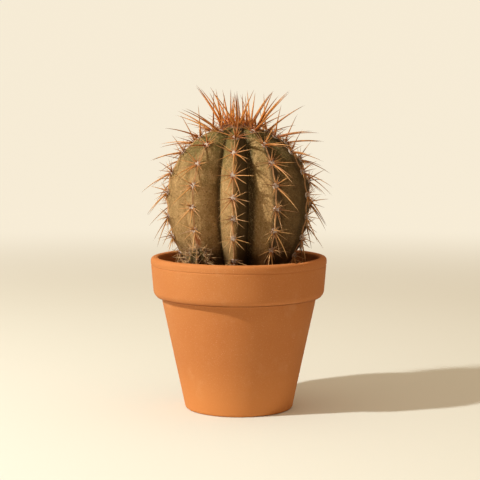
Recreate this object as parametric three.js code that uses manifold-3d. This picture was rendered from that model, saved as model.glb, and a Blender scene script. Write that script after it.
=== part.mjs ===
// A round barrel cactus in a terracotta pot. The pieces are the pot, its soil, the ribbed stem, one row of
// woolly areoles and spines along the crest of each rib, the young spines of the crown, and a pup at the
// stem's foot with spines of its own.
// Millimetres, +Z up. The origin is the middle of the pot's underside, and the front is towards -Y.
import * as THREE from "three";
import { mergeVertices } from "three/addons/utils/BufferGeometryUtils.js";
import Module from "manifold-3d";

const wasm = await Module();
wasm.setup();

const DEGREE = Math.PI / 180;
const GAP = 0.4; // between two pieces that touch

const POT = {
  height: 138.5,
  rimRadius: 80, // outside, at its widest
  lipRound: 4.6, // of the rim's top edge
  lipHeight: 6.5, // from the top down to the fine groove under the lip
  grooveDepth: 0.5,
  collarHeight: 39.5,
  collarFootRadius: 77,
  collarFootRound: 6,
  shoulderRadius: 69.8, // of the body, just under the collar
  baseRadius: 48.8,
  baseRound: 2.2,
  mouthRadius: 72.6, // inside, at the rim
  innerBaseRadius: 42,
  innerBaseRound: 5,
  floor: 9,
  drainRadius: 11,
  sides: 48,
};

const SOIL = { edge: 119, middle: 121.5, sides: 36 };

// The crest line of every rib is two quarter ellipses that meet at the stem's widest level.
const STEM = {
  radius: 66,
  widestLevel: 192,
  capHeight: 64.5, // from the widest level to the top
  bowlHeight: 86, // from the widest level to where the lower ellipse would close
  soilAngle: -61 * DEGREE, // where the lower ellipse gives way to the root neck
  crownAngle: 82 * DEGREE, // where the upper ellipse gives way to the sunken crown
  crownSink: 3,
  neckRadius: 15,
  neckBottom: 98,
  rings: 8, // of facets in either half of the crest line
};

const RIBS = 10;
const RIB = {
  turn: -4.7 * DEGREE, // of the first rib, from the front towards +X
  valley: 0.74, // a valley's share of the crest's radius
  crestRound: 0.16, // how blunt the crest is, as a share of half a rib
  bulge: 0.018, // of the flanks, as a share of the crest's radius
  steps: 6, // facets round each rib
};
const SECTOR = (2 * Math.PI) / RIBS;

// Areoles follow each crest from the crown down. Those of every second rib are half a step higher.
const AREOLE = {
  firstArc: 15, // along the crest, from the crown's centre to where the steps are counted from
  step: 21.9, // between two areoles there
  stepShrink: 0.25, // and how the step shortens with age
  lastStep: 7.5,
  radius: 3,
  height: 2.4,
  sides: 6,
};
const CREST_LINE = { radius: 0.8, pieces: 14, lift: 1.3 };

// Each spine of an areole: its tilt from the areole's own direction, the way it leans (0 is up the rib),
// and its length.
const SPINES = [
  { tilt: 46, lean: 180, length: 31 },
  { tilt: 24, lean: 0, length: 20 },
  { tilt: 54, lean: 100, length: 25 },
  { tilt: 54, lean: -100, length: 25 },
];
const SPINE = { foot: 0.85, bend: 0.1, sides: 3, steps: 2 }; // a tip drops by the bend's share of the length

const CROWN = {
  capArc: 19, // how far the crown's wool reaches down the ribs
  capThickness: 2,
  sides: 20,
  rings: [
    { arc: 16.5, spines: 5, tilt: 42, length: 34, turn: 0 },
    { arc: 11, spines: 5, tilt: 18, length: 34, turn: 0.5 },
    { arc: 5, spines: 3, tilt: 8, length: 28, turn: 0.25 },
  ],
};

const PUP = {
  turn: -38.5 * DEGREE,
  distance: 58, // from the pot's axis
  level: 135, // of its widest part
  radius: 9.6,
  capHeight: 12.5,
  footRadius: 5.5,
  bottom: 112,
  ribs: 8,
  valley: 0.86,
  sides: 24,
  spines: 12,
  spineLength: 10,
  row: 9, // the stem's row that ends above the pup
  rowLastStep: 5.5,
};

const terracotta = new THREE.MeshStandardMaterial({ color: 0xcf7a45, roughness: 0.88 });
const pottingSoil = new THREE.MeshStandardMaterial({ color: 0x2c2018, roughness: 0.95 });
const cactusSkin = new THREE.MeshStandardMaterial({ color: 0x6b6538, roughness: 0.6 });
const pupSkin = new THREE.MeshStandardMaterial({ color: 0x6c6a3e, roughness: 0.65 });
const spineHorn = new THREE.MeshStandardMaterial({ color: 0xb4672f, roughness: 0.5 });
const crownHorn = new THREE.MeshStandardMaterial({ color: 0xc4622a, roughness: 0.5 });

// Closed geometry to a manifold-3d solid, and back.
function solid(geometry) {
  const bare = geometry.clone();
  bare.deleteAttribute("normal");
  bare.deleteAttribute("uv");
  const merged = mergeVertices(bare, 1e-4);
  return new wasm.Manifold(
    new wasm.Mesh({
      numProp: 3,
      vertProperties: new Float32Array(merged.attributes.position.array),
      triVerts: new Uint32Array(merged.index.array),
    }),
  );
}

function geometryOf(made) {
  const { numProp, numVert, vertProperties, triVerts } = made.getMesh();
  const positions = new Float32Array(numVert * 3);
  for (let i = 0; i < numVert; i++) {
    positions.set(vertProperties.subarray(i * numProp, i * numProp + 3), i * 3);
  }
  const geometry = new THREE.BufferGeometry();
  geometry.setAttribute("position", new THREE.BufferAttribute(positions, 3));
  geometry.setIndex(new THREE.BufferAttribute(new Uint32Array(triVerts), 1));
  geometry.computeVertexNormals();
  return geometry;
}

// A turned shape about +Z, from a profile of radius and level that runs from the bottom up the outside.
function turned(profile, sides) {
  const geometry = new THREE.LatheGeometry(profile, sides);
  geometry.rotateX(Math.PI / 2);
  return geometry;
}

// Moves each vertex of a geometry by a function.
function reshape(geometry, move) {
  const position = geometry.attributes.position;
  const point = new THREE.Vector3();
  for (let i = 0; i < position.count; i++) {
    move(point.fromBufferAttribute(position, i));
    position.setXYZ(i, point.x, point.y, point.z);
  }
  return geometry;
}

// The pot: a tapered body with a floor and a drain hole, under a deep collar with a rounded lip.
function potGeometry() {
  const p = POT;
  const collarFoot = p.height - p.collarHeight;
  const groove = p.height - p.lipHeight;
  const face = (level) => {
    const share = (level - collarFoot) / (groove - collarFoot);
    return THREE.MathUtils.lerp(p.collarFootRadius, p.rimRadius, share) - p.grooveDepth * share;
  };
  const outline = new THREE.Path();
  outline.moveTo(p.drainRadius, 0);
  outline.lineTo(p.baseRadius - p.baseRound, 0);
  outline.quadraticCurveTo(p.baseRadius, 0, p.baseRadius + 0.3, p.baseRound);
  outline.lineTo(p.shoulderRadius, collarFoot - 2);
  outline.quadraticCurveTo(p.shoulderRadius + 0.4, collarFoot, p.shoulderRadius + 1.6, collarFoot + 0.4);
  const foot = collarFoot + p.collarFootRound;
  outline.quadraticCurveTo(p.collarFootRadius - 0.6, collarFoot + 1.2, face(foot), foot);
  outline.lineTo(face(groove - 0.8), groove - 0.8);
  outline.lineTo(p.rimRadius - p.grooveDepth - 0.3, groove);
  outline.lineTo(p.rimRadius, groove + 1);
  const lip = p.height - p.lipRound;
  outline.absarc(p.rimRadius - p.lipRound, lip, p.lipRound, 0, Math.PI / 2, false);
  outline.quadraticCurveTo(p.mouthRadius, p.height, p.mouthRadius, p.height - 3);
  outline.lineTo(p.innerBaseRadius + 1, p.floor + p.innerBaseRound);
  outline.quadraticCurveTo(p.innerBaseRadius, p.floor, p.innerBaseRadius - p.innerBaseRound, p.floor);
  outline.lineTo(p.drainRadius, p.floor);
  outline.closePath();
  return turned(outline.getPoints(3), p.sides);
}

// The inside radius of the pot's straight wall at a level.
function wallRadius(level) {
  const low = POT.floor + POT.innerBaseRound;
  const share = (level - low) / (POT.height - 3 - low);
  return THREE.MathUtils.lerp(POT.innerBaseRadius + 1, POT.mouthRadius, share);
}

// The crest line from the root neck up to the crown's centre, as radius and level.
function crestProfile(grow) {
  const s = STEM;
  const outline = new THREE.Path();
  outline.moveTo(0, s.neckBottom - grow);
  outline.lineTo(s.neckRadius * 0.5, s.neckBottom - grow);
  outline.quadraticCurveTo(
    s.neckRadius + grow,
    s.neckBottom - grow,
    s.radius * Math.cos(s.soilAngle) + grow,
    s.widestLevel + s.bowlHeight * Math.sin(s.soilAngle),
  );
  const bowl = { from: s.soilAngle, to: 0, height: s.bowlHeight };
  const cap = { from: 0, to: s.crownAngle, height: s.capHeight };
  for (const part of [bowl, cap]) {
    for (let i = 1; i <= s.rings; i++) {
      const angle = THREE.MathUtils.lerp(part.from, part.to, i / s.rings);
      const level = s.widestLevel + (part.height + grow) * Math.sin(angle);
      outline.lineTo((s.radius + grow) * Math.cos(angle), level);
    }
  }
  outline.lineTo(0, s.widestLevel + s.capHeight - s.crownSink + grow);
  return outline.getPoints(4);
}

// A rib's share of its crest's radius, at an angle from the crest's middle.
function ribShape(angle, valley) {
  const blunt = RIB.crestRound;
  const across = Math.abs(THREE.MathUtils.euclideanModulo(angle / SECTOR + 0.5, 1) - 0.5) * 2;
  const fall = (Math.hypot(across, blunt) - blunt) / (Math.hypot(1, blunt) - blunt);
  return valley + (1 - valley) * (1 - fall) + RIB.bulge * Math.sin(Math.PI * across) ** 2;
}

// How deep the ribs are at a level: they fade out in the soil and at the crown's centre.
function fluting(radius, level) {
  const aboveNeck = THREE.MathUtils.smoothstep(level, STEM.neckBottom + 8, STEM.neckBottom + 40);
  const offCentre = THREE.MathUtils.smoothstep(radius, 2, 14);
  return aboveNeck * offCentre;
}

function stemGeometry(grow = 0) {
  const geometry = turned(crestProfile(grow), RIBS * RIB.steps);
  const front = -Math.PI / 2 + RIB.turn;
  geometry.rotateZ(front);
  return reshape(geometry, (point) => {
    const radius = Math.hypot(point.x, point.y);
    const shape = ribShape(Math.atan2(point.y, point.x) - front, RIB.valley);
    const share = THREE.MathUtils.lerp(1, shape, fluting(radius, point.z));
    point.x *= share;
    point.y *= share;
  });
}

// The crest line above the soil as a curve in the XZ plane, from the crown's centre down.
class CrestCurve extends THREE.Curve {
  constructor(lift) {
    super();
    this.lift = lift;
  }
  getPoint(share, target = new THREE.Vector3()) {
    const angle = THREE.MathUtils.lerp(Math.PI / 2, STEM.soilAngle, share);
    const height = angle > 0 ? STEM.capHeight : STEM.bowlHeight;
    const radius = (STEM.radius + this.lift) * Math.cos(angle);
    return target.set(radius, 0, STEM.widestLevel + (height + this.lift) * Math.sin(angle));
  }
}
const crest = new CrestCurve(0);
const crestLength = crest.getLength();

// Where the crest is at an arc length from the crown's centre, with the directions out of it and up it.
function crestAt(arc) {
  const share = arc / crestLength;
  const up = crest.getTangentAt(share).negate();
  const out = new THREE.Vector3(-up.z, 0, up.x).negate();
  return { point: crest.getPointAt(share), out, up };
}

// The arc length of an areole, by its step.
function areoleArc(step) {
  return AREOLE.firstArc + AREOLE.step * step - AREOLE.stepShrink * step * step;
}

// A spine that stands on the origin along +Y and bends towards -Z.
function spineGeometry(length, foot = SPINE.foot) {
  const geometry = new THREE.ConeGeometry(foot, length, SPINE.sides, SPINE.steps);
  geometry.translate(0, length / 2, 0);
  return reshape(geometry, (point) => {
    point.z -= SPINE.bend * point.y * Math.max(point.y / length, 0);
  });
}

// Places a geometry whose +Y is its own direction at a point, along a direction, bending away from up.
function placed(geometry, point, direction, up) {
  const y = direction.clone().normalize();
  const x = new THREE.Vector3().crossVectors(y, up).normalize();
  const z = new THREE.Vector3().crossVectors(x, y);
  return geometry.applyMatrix4(new THREE.Matrix4().makeBasis(x, y, z).setPosition(point));
}

// The way that a spine leans and the direction that it grows in, kept inside its own rib's sector.
function spineDirection({ tilt, lean }, length, areole) {
  const side = new THREE.Vector3().crossVectors(areole.up, areole.out);
  const across = new THREE.Vector3()
    .addScaledVector(areole.up, Math.cos(lean * DEGREE))
    .addScaledVector(side, Math.sin(lean * DEGREE));
  const room = (areole.point.x * Math.tan(SECTOR / 2) * 0.7) / length;
  const reach = Math.min(Math.sin(tilt * DEGREE), room / Math.max(Math.abs(Math.sin(lean * DEGREE)), 0.01));
  const direction = across.clone().multiplyScalar(reach);
  direction.addScaledVector(areole.out, Math.sqrt(1 - reach * reach));
  return { direction, lean: across };
}

// Levels out a direction that would meet the soil, and shortens a spine that would meet the pot's rim.
function fitInPot(start, direction, length) {
  const soilRoom = start.z - SOIL.middle - SPINE.bend * length - 3;
  const drop = Math.max(direction.z, -Math.max(soilRoom, 1) / length);
  direction.multiplyScalar(Math.sqrt((1 - drop * drop) / (1 - direction.z * direction.z)));
  direction.z = drop;
  const tip = new THREE.Vector3();
  let fitted = length;
  do {
    tip.copy(start).addScaledVector(direction, fitted);
    fitted *= 0.95;
  } while (tip.z < POT.height + 4 && Math.hypot(tip.x, tip.y) > POT.mouthRadius - 3);
  return fitted;
}

// A flat round pad of wool that stands on the origin along +Y.
function woolPad(radius, height) {
  const outline = new THREE.Path();
  outline.moveTo(0, 0);
  outline.lineTo(radius * 0.85, 0);
  outline.lineTo(radius, height);
  outline.lineTo(0, height);
  return new THREE.LatheGeometry(outline.getPoints(1), AREOLE.sides);
}

// One rib's areoles with their spines, joined by the corky line along the crest. The rib lies over +X.
function spineRow(firstStep, lastStep) {
  const lifted = new CrestCurve(CREST_LINE.lift);
  const from = areoleArc(firstStep) / crestLength;
  const to = areoleArc(lastStep) / crestLength;
  const route = Array.from({ length: CREST_LINE.pieces + 1 }, (_, i) =>
    lifted.getPointAt(THREE.MathUtils.lerp(from, to, i / CREST_LINE.pieces)),
  );
  const section = new THREE.Shape();
  section.moveTo(CREST_LINE.radius, 0);
  section.lineTo(-CREST_LINE.radius * 0.5, CREST_LINE.radius);
  section.lineTo(-CREST_LINE.radius * 0.5, -CREST_LINE.radius);
  section.closePath();
  const crestLine = new THREE.ExtrudeGeometry(section, {
    extrudePath: new THREE.CatmullRomCurve3(route),
    steps: CREST_LINE.pieces,
    curveSegments: 2,
    bevelEnabled: false,
  });
  const pieces = [solid(crestLine)];
  for (let step = firstStep; step <= lastStep; step++) {
    const areole = crestAt(areoleArc(step));
    const foot = areole.point.clone().addScaledVector(areole.out, GAP);
    const pad = woolPad(AREOLE.radius, AREOLE.height);
    pieces.push(solid(placed(pad, foot, areole.out, areole.up)));
    const heart = foot.clone().addScaledVector(areole.out, AREOLE.height * 0.75);
    const vigour = 1.1 - 0.25 * (step / AREOLE.lastStep) ** 2;
    for (const kind of SPINES) {
      const { direction, lean } = spineDirection(kind, kind.length * vigour, areole);
      const start = heart.clone().addScaledVector(lean, AREOLE.radius * 0.35);
      const length = fitInPot(start, direction, kind.length * vigour);
      pieces.push(solid(placed(spineGeometry(length), start, direction, areole.up)));
    }
  }
  return geometryOf(wasm.Manifold.union(pieces).simplify(0.05));
}

// The wool over the sunken crown, with its upright young spines.
function crownGeometry() {
  const outside = [];
  const inside = [];
  const rings = 5;
  for (let i = 0; i <= rings; i++) {
    const { point, out } = crestAt((CROWN.capArc * i) / rings);
    const under = point.clone().addScaledVector(out, GAP);
    const thickness = CROWN.capThickness * Math.sqrt(1 - (i / (rings + 1)) ** 2);
    const over = under.clone().addScaledVector(out, thickness);
    outside.push(new THREE.Vector2(over.x, over.z));
    inside.push(new THREE.Vector2(under.x, under.z));
  }
  outside[0].x = 0;
  inside[0].x = 0;
  const wool = turned([...inside, ...outside.reverse()], CROWN.sides);
  const pieces = [solid(wool)];
  for (const ring of CROWN.rings) {
    const areole = crestAt(ring.arc);
    for (let i = 0; i < ring.spines; i++) {
      const turn = ((i + ring.turn) / ring.spines) * 2 * Math.PI + RIB.turn - Math.PI / 2;
      const direction = new THREE.Vector3(Math.sin(ring.tilt * DEGREE), 0, Math.cos(ring.tilt * DEGREE));
      const foot = areole.point.clone().addScaledVector(areole.out, GAP + CROWN.capThickness * 0.5);
      const spine = placed(spineGeometry(ring.length), foot, direction, new THREE.Vector3(0, 0, 1));
      pieces.push(solid(spine.rotateZ(turn)));
    }
  }
  return geometryOf(wasm.Manifold.union(pieces).simplify(0.05));
}

// The pup about its own axis, standing at its own place beside the stem.
function pupBody(grow = 0) {
  const outline = new THREE.Path();
  outline.moveTo(0, PUP.bottom - grow);
  outline.lineTo(PUP.footRadius * 0.6 + grow, PUP.bottom - grow);
  outline.quadraticCurveTo(PUP.radius + grow, PUP.level - 14, PUP.radius + grow, PUP.level);
  const steps = 5;
  for (let i = 1; i <= steps; i++) {
    const angle = (Math.PI / 2) * (i / steps);
    const radius = i === steps ? 0 : (PUP.radius + grow) * Math.cos(angle);
    outline.lineTo(radius, PUP.level + (PUP.capHeight + grow) * Math.sin(angle));
  }
  const geometry = turned(outline.getPoints(3), PUP.sides);
  return reshape(geometry, (point) => {
    const wave = (1 + Math.cos(Math.atan2(point.y, point.x) * PUP.ribs)) / 2;
    const share = THREE.MathUtils.lerp(PUP.valley, 1, wave);
    point.x *= share;
    point.y *= share;
  });
}

function atPup(geometry) {
  const turn = PUP.turn - Math.PI / 2;
  return geometry.translate(PUP.distance * Math.cos(turn), PUP.distance * Math.sin(turn), 0);
}

// The pup's spines, joined by a thin cap of wool over its top.
function pupSpines() {
  const steps = 3;
  const inside = [];
  const outside = [];
  for (let i = 0; i <= steps; i++) {
    const angle = Math.PI / 2 - (i / steps) * 62 * DEGREE;
    const shell = (lift) =>
      new THREE.Vector2(
        i === 0 ? 0 : (PUP.radius + lift) * Math.cos(angle),
        PUP.level + (PUP.capHeight + lift) * Math.sin(angle),
      );
    inside.push(shell(GAP));
    outside.push(shell(GAP + 1));
  }
  const pieces = [solid(turned([...inside, ...outside.reverse()], PUP.sides / 2))];
  for (let i = 0; i < PUP.spines; i++) {
    const rise = (i % 2 ? 36 : 62) * DEGREE;
    const turn = (i / PUP.spines) * 2 * Math.PI;
    const out = new THREE.Vector3(Math.cos(rise), 0, Math.sin(rise));
    const foot = new THREE.Vector3(PUP.radius * out.x, 0, PUP.level + PUP.capHeight * out.z);
    foot.addScaledVector(out, GAP + 0.4);
    const shape = spineGeometry(PUP.spineLength, SPINE.foot * 0.6);
    pieces.push(solid(placed(shape, foot, out, new THREE.Vector3(0, 0, 1)).rotateZ(turn)));
  }
  return geometryOf(wasm.Manifold.union(pieces).simplify(0.05));
}

// A piece of the pup, clear of the stem, without the tips that this cuts loose.
function besideStem(geometry) {
  const bodies = solid(atPup(geometry)).subtract(solid(stemGeometry(GAP))).decompose();
  return geometryOf(bodies.reduce((largest, body) => (body.volume() > largest.volume() ? body : largest)));
}

// The soil fills the pot under the stem, with hollows for the root neck and the pup's foot.
function soilGeometry() {
  const outline = new THREE.Path();
  const low = POT.floor + POT.innerBaseRound + 1;
  outline.moveTo(0, POT.floor + GAP);
  outline.lineTo(POT.innerBaseRadius - POT.innerBaseRound - 0.6, POT.floor + GAP);
  outline.lineTo(wallRadius(low) - 1.2, low);
  outline.lineTo(wallRadius(SOIL.edge) - GAP - 0.2, SOIL.edge);
  outline.quadraticCurveTo(STEM.radius * 0.6, SOIL.middle, 0, SOIL.middle);
  const fill = solid(turned(outline.getPoints(4), SOIL.sides));
  return geometryOf(fill.subtract(solid(stemGeometry(GAP))).subtract(solid(atPup(pupBody(GAP)))));
}

const cactus = new THREE.Group();

function add(name, geometry, material) {
  const mesh = new THREE.Mesh(geometry, material);
  mesh.name = name;
  cactus.add(mesh);
  return mesh;
}

add("terracotta_pot", potGeometry(), terracotta);
add("potting_soil", soilGeometry(), pottingSoil);
add("cactus_stem", stemGeometry(), cactusSkin);
for (let rib = 0; rib < RIBS; rib++) {
  const firstStep = rib % 2 ? 0.5 : 1;
  const spines = spineRow(firstStep, rib === PUP.row ? PUP.rowLastStep : AREOLE.lastStep);
  const row = add(`spine_row_${String(rib + 1).padStart(2, "0")}`, spines, spineHorn);
  row.rotation.z = RIB.turn - Math.PI / 2 + rib * SECTOR;
}
add("crown_spines", crownGeometry(), crownHorn);
add("pup", besideStem(pupBody()), pupSkin);
add("pup_spines", besideStem(pupSpines()), spineHorn);

export default cactus;
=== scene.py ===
"""A round barrel cactus in a terracotta pot, on a plain pale floor in soft light.

Metres, +Z up, with the origin in the middle of the pot's underside and the front towards -Y.
"""
import math
import random

import bmesh
import bpy
import numpy as np
from mathutils import Matrix, Vector, noise


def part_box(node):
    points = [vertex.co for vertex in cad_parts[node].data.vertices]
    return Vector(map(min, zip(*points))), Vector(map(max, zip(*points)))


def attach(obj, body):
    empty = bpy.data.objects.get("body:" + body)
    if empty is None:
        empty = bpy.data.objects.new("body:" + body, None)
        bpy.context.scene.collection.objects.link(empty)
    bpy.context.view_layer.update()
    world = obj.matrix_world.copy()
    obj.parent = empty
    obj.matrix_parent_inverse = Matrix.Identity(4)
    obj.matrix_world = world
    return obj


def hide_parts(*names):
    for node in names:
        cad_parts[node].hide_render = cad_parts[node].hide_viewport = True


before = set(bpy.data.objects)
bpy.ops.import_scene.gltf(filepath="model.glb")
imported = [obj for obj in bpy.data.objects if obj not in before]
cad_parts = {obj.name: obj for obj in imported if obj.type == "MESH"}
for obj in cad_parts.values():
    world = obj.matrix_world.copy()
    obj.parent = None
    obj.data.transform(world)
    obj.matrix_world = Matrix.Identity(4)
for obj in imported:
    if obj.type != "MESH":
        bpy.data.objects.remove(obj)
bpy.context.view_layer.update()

MM = 0.001

POT_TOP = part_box("terracotta_pot")[1].z
RIM_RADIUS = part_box("terracotta_pot")[1].x
INNER_RADIUS = 0.072  # inside the lip
SOIL_LEVEL = 0.1205

FRONT = -math.pi / 2

# The stem's crest line is a cap over a bowl, two quarter ellipses that meet where it is widest.
RIBS = 10
SECTOR = 2 * math.pi / RIBS
FIRST_RIB = math.radians(-4.7)  # from the front, towards +X
WIDEST_LEVEL = 0.192
WIDEST_RADIUS = 0.066
CAP_HEIGHT = 0.0645
BOWL_HEIGHT = 0.086
CROWN_RADIUS = 0.016
CROWN_SINK = 0.0035
SOIL_ANGLE = math.radians(-61)  # where the bowl goes over to the root neck
NECK_RADIUS = 0.015
NECK_FOOT = 0.098
DRAWN_IN = 0.265  # how far a valley is drawn in, as a share of the crest's radius

# Areoles along a crest: where their steps are counted from, the step there, and how it shortens with age.
AREOLE_START = 0.015
AREOLE_STEP = 0.0219
AREOLE_SHRINK = 0.00025

# How far the ribs wander from even spacing: waves round the stem, each with its count, size and start.
WANDER = ((1, 1.1, -105), (2, 1.3, -20), (3, 1.0, 150))
WANDER_GROWS = (0.025, 0.08)  # the arc lengths from the crown where it sets in and where it's full

# Valleys that are shallower or deeper than the others: each one's turn, and what its radius gains.
VALLEYS = ((-148.7, 0.11), (-76.7, -0.08), (-4.7, 0.04), (67.3, -0.05), (139.3, 0.05))

# The turn that the key light comes from: the skin is painted darker on the side of the stem away from it, as
# painted shade.
KEY_LIGHT_TURN = math.radians(-160)

# The pup stands at the foot of the last rib, whose row of areoles ends above it.
PUP_RIB = RIBS - 1
PUP_TURN = math.radians(-38.5)  # from the front, towards +X
PUP_DISTANCE = 0.058
PUP_LEVEL = 0.135
PUP_RADIUS = 0.0112
PUP_RIBS = 8


# ---------------------------------------------------------------- node trees


class Value:
    """A node's output that takes part in Python arithmetic."""

    def __init__(self, tree, socket):
        self.tree = tree
        self.socket = socket

    def out(self, name):
        """Another output of the same node."""
        return Value(self.tree, self.socket.node.outputs[name])

    def __add__(self, other):
        return self.tree.math("ADD", self, other)

    __radd__ = __add__

    def __sub__(self, other):
        return self.tree.math("SUBTRACT", self, other)

    def __rsub__(self, other):
        return self.tree.math("SUBTRACT", other, self)

    def __mul__(self, other):
        return self.tree.math("MULTIPLY", self, other)

    __rmul__ = __mul__

    def __truediv__(self, other):
        return self.tree.math("DIVIDE", self, other)

    def __rtruediv__(self, other):
        return self.tree.math("DIVIDE", other, self)

    def __pow__(self, other):
        return self.tree.math("POWER", self, other)


class Tree:
    """Builds a shader or a geometry node tree."""

    def __init__(self, nodes_of):
        self.tree = nodes_of

    def node(self, kind, settings=None, inputs=None, out=0):
        made = self.tree.nodes.new(kind)
        for name, value in (settings or {}).items():
            if name == "stops":
                self.set_stops(made.color_ramp, value)
            else:
                setattr(made, name, value)
        for name, value in (inputs or {}).items():
            if isinstance(value, Value):
                self.tree.links.new(value.socket, made.inputs[name])
            else:
                made.inputs[name].default_value = value
        return Value(self, made.outputs[out]) if len(made.outputs) else made

    @staticmethod
    def set_stops(ramp, stops):
        while len(ramp.elements) > 1:
            ramp.elements.remove(ramp.elements[-1])
        for index, (place, shade) in enumerate(stops):
            stop = ramp.elements[0] if index == 0 else ramp.elements.new(place)
            stop.position = place
            stop.color = shade

    def math(self, operation, *values):
        return self.node("ShaderNodeMath", {"operation": operation}, dict(enumerate(values)))

    def vector(self, operation, *values, out=0):
        return self.node("ShaderNodeVectorMath", {"operation": operation}, dict(enumerate(values)), out)

    def joined(self, x, y, z):
        return self.node("ShaderNodeCombineXYZ", None, {0: x, 1: y, 2: z})

    def parts(self, vector):
        """A vector's X. Its Y and Z are the same node's other outputs."""
        return self.node("ShaderNodeSeparateXYZ", None, {0: vector})

    def scaled(self, vector, amount):
        settings = {"operation": "SCALE"}
        return self.node("ShaderNodeVectorMath", settings, {"Vector": vector, "Scale": amount})

    def smooth(self, value, low, high):
        """0 below low and 1 above high, with a smooth rise between."""
        inputs = {"Value": value, "From Min": low, "From Max": high}
        return self.node("ShaderNodeMapRange", {"interpolation_type": "SMOOTHSTEP"}, inputs)

    def noise(self, place, scale, detail=3.0, roughness=0.5):
        """Cloudy noise, from -0.5 to 0.5."""
        inputs = {"Vector": place, "Scale": scale, "Detail": detail, "Roughness": roughness}
        return self.node("ShaderNodeTexNoise", None, inputs) - 0.5

    def stretched_noise(self, place, scales, detail, roughness=0.5):
        """Cloudy noise with a scale of its own along each axis."""
        return self.noise(self.vector("MULTIPLY", place, scales), 1.0, detail, roughness)

    def mix(self, factor, first, second):
        """A colour between two, by the factor."""
        settings = {"data_type": "RGBA", "clamp_factor": True}
        return self.node("ShaderNodeMix", settings, {0: factor, 6: first, 7: second}, 2)

    def coated(self, base, *coats):
        """Lays coats over a base colour in turn, each given by its mask and its paint chart colour."""
        for mask, tone in coats:
            base = self.mix(mask, base, colour(*tone))
        return base

    def ramp(self, stops, factor):
        """A colour from stops, each a place and a paint chart colour."""
        levels = [(place, colour(*tone)) for place, tone in stops]
        return self.node("ShaderNodeValToRGB", {"stops": levels}, {"Fac": factor})

    def bump(self, height, distance, strength):
        inputs = {"Height": height, "Distance": distance, "Strength": strength}
        return self.node("ShaderNodeBump", None, inputs)

    def moved(self, geometry, **how):
        """The geometry with a new Position, or moved by an Offset."""
        return self.node("GeometryNodeSetPosition", None, {"Geometry": geometry, **how})

    def copied(self, points, piece, rotation, scale):
        """The piece on each point. The copies are still one shape, until Realize Instances."""
        inputs = {"Points": points, "Instance": piece, "Rotation": rotation, "Scale": scale}
        return self.node("GeometryNodeInstanceOnPoints", None, inputs)

    def facing(self, vector):
        """The rotation that turns +Z to a vector."""
        return self.node("FunctionNodeAlignRotationToVector", {"axis": "Z"}, {"Vector": vector})

    def stored(self, geometry, name, value, domain="POINT"):
        settings = {"data_type": "FLOAT", "domain": domain}
        inputs = {"Geometry": geometry, "Name": name, "Value": value}
        return self.node("GeometryNodeStoreNamedAttribute", settings, inputs)

    def named(self, name, kind="FLOAT"):
        return self.node("GeometryNodeInputNamedAttribute", {"data_type": kind}, {"Name": name})

    def attribute(self, name):
        return self.node("ShaderNodeAttribute", {"attribute_name": name}, out="Fac")


def colour(red, green, blue):
    """A colour given as on a paint chart, from 0 to 255, as the light it gives back."""

    def linear(level):
        level /= 255
        return level / 12.92 if level <= 0.04045 else ((level + 0.055) / 1.055) ** 2.4

    return (linear(red), linear(green), linear(blue), 1)


def material(name, paint, **settings):
    """A new material. paint takes its tree and the object coordinates, and returns the shader's inputs."""
    made = bpy.data.materials.new(name)
    made.use_nodes = True
    made.node_tree.nodes.clear()
    tree = Tree(made.node_tree)
    place = tree.node("ShaderNodeTexCoord", out="Object")
    inputs = {**settings, **paint(tree, place)}
    shader = tree.node("ShaderNodeBsdfPrincipled", None, inputs)
    tree.node("ShaderNodeOutputMaterial", None, {"Surface": shader})
    return made


# ---------------------------------------------------------------- meshes


def new_object(name, mesh, made_of=None):
    thing = bpy.data.objects.new(name, mesh)
    bpy.context.scene.collection.objects.link(thing)
    if made_of is not None:
        mesh.materials.append(made_of)
    return thing


def mesh_of(name, points, faces):
    mesh = bpy.data.meshes.new(name)
    mesh.from_pydata([tuple(point) for point in points], [], faces)
    return mesh


def tidied(mesh, join=0.00002):
    """Joins doubled points, turns every face outwards and shades the mesh smooth."""
    work = bmesh.new()
    work.from_mesh(mesh)
    bmesh.ops.remove_doubles(work, verts=work.verts, dist=join)
    bmesh.ops.recalc_face_normals(work, faces=work.faces)
    work.to_mesh(mesh)
    work.free()
    mesh.shade_smooth()
    return mesh


def turned(name, profile, sides, move):
    """A closed shape turned about +Z from a closed profile of radius and level, each point then moved."""
    points = []
    for side in range(sides):
        turn = 2 * math.pi * side / sides
        for radius, level in profile:
            point = Vector((radius * math.cos(turn), radius * math.sin(turn), level))
            points.append(move(point, turn))
    rows = len(profile)
    faces = []
    for side in range(sides):
        for row in range(rows):
            here, there = side * rows, (side + 1) % sides * rows
            after = (row + 1) % rows
            faces.append((here + row, there + row, there + after, here + after))
    return tidied(mesh_of(name, points, faces))


def curve_points(corners, spacing):
    """Points along a line of corners, each with its own rounding radius, at about even spacing."""
    rounded = []
    for index, (x, y, radius) in enumerate(corners):
        corner = Vector((x, y))
        before = Vector(corners[index - 1][:2])
        after = Vector(corners[(index + 1) % len(corners)][:2])
        if radius == 0:
            rounded.append(corner)
            continue
        entry = corner + (before - corner).normalized() * radius
        leave = corner + (after - corner).normalized() * radius
        for step in range(9):
            t = step / 8
            rounded.append(entry * (1 - t) ** 2 + corner * 2 * t * (1 - t) + leave * t**2)
    even = []
    for index, point in enumerate(rounded):
        following = rounded[(index + 1) % len(rounded)]
        steps = max(1, round((following - point).length / spacing))
        even += [point.lerp(following, step / steps) for step in range(steps)]
    return [tuple(point) for point in even]


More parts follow.
